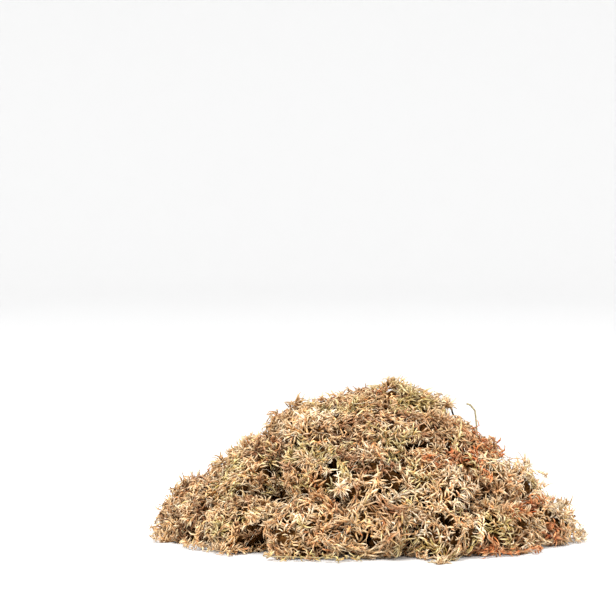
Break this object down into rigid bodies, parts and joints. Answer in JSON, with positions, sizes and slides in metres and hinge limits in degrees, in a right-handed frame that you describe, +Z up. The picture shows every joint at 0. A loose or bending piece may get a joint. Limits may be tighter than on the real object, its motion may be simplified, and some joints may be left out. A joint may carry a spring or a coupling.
{
  "type": "sphagnum moss clump",
  "caption": "Loose heap of dried sphagnum moss: tangled leafy tufts with a few loose strands, resting on a flat surface.",
  "frame": {"origin": "middle of the heap's box, on the surface that it rests on", "axes": "+X to the right and -Y towards someone who looks at the heap's front, +Z up"},
  "size_m": [0.3796, 0.3564, 0.1382],
  "materials": {
    "moss_bark": "matte",
    "moss_brown": "matte",
    "moss_olive": "matte",
    "moss_pale": "matte",
    "moss_rust": "matte",
    "moss_straw": "matte",
    "moss_tan": "matte"
  },
  "bodies": {
    "root": {"stem_hooked": "moss_bark", "strand_back_low": "moss_tan", "strand_back_slope": "moss_straw", "strand_front_flat": "moss_olive", "strand_green_diagonal": "moss_olive", "strand_left_low": "moss_straw", "strand_left_tip": "moss_straw", "strand_right_low": "moss_rust", "strand_right_tip": "moss_pale", "tuft_ball_left": "moss_straw", "tuft_combed_front": "moss_straw", "tuft_crown_01": "moss_tan", "tuft_crown_02": "moss_tan", "tuft_crown_03": "moss_straw", "tuft_crown_04": "moss_olive", "tuft_foot_01": "moss_straw", "tuft_foot_02": "moss_brown", "tuft_foot_03": "moss_tan", "tuft_foot_04": "moss_tan", "tuft_foot_05": "moss_straw", "tuft_foot_06": "moss_olive", "tuft_foot_07": "moss_straw", "tuft_foot_08": "moss_pale", "tuft_foot_09": "moss_straw", "tuft_foot_10": "moss_brown", "tuft_foot_12": "moss_tan", "tuft_foot_14": "moss_olive", "tuft_foot_15": "moss_straw", "tuft_foot_16": "moss_pale", "tuft_inner_high_01": "moss_straw", "tuft_inner_high_02": "moss_pale", "tuft_inner_low_01": "moss_straw", "tuft_inner_low_02": "moss_brown", "tuft_inner_low_03": "moss_tan", "tuft_inner_low_04": "moss_tan", "tuft_inner_low_05": "moss_straw", "tuft_olive_left": "moss_olive", "tuft_pale_right": "moss_pale", "tuft_rust_right": "moss_rust", "tuft_slope_01": "moss_straw", "tuft_slope_02": "moss_pale", "tuft_slope_03": "moss_straw", "tuft_slope_04": "moss_brown", "tuft_slope_05": "moss_tan", "tuft_slope_06": "moss_tan", "tuft_slope_07": "moss_straw", "tuft_slope_08": "moss_olive", "tuft_slope_10": "moss_pale", "tuft_slope_11": "moss_straw", "tuft_upper_01": "moss_straw", "tuft_upper_02": "moss_olive", "tuft_upper_03": "moss_straw", "tuft_upper_04": "moss_pale", "tuft_upper_05": "moss_straw", "tuft_upper_06": "moss_brown", "tuft_upper_07": "moss_tan", "tuft_upper_08": "moss_tan", "twig_dark": "moss_bark"}
  },
  "joints": []
}
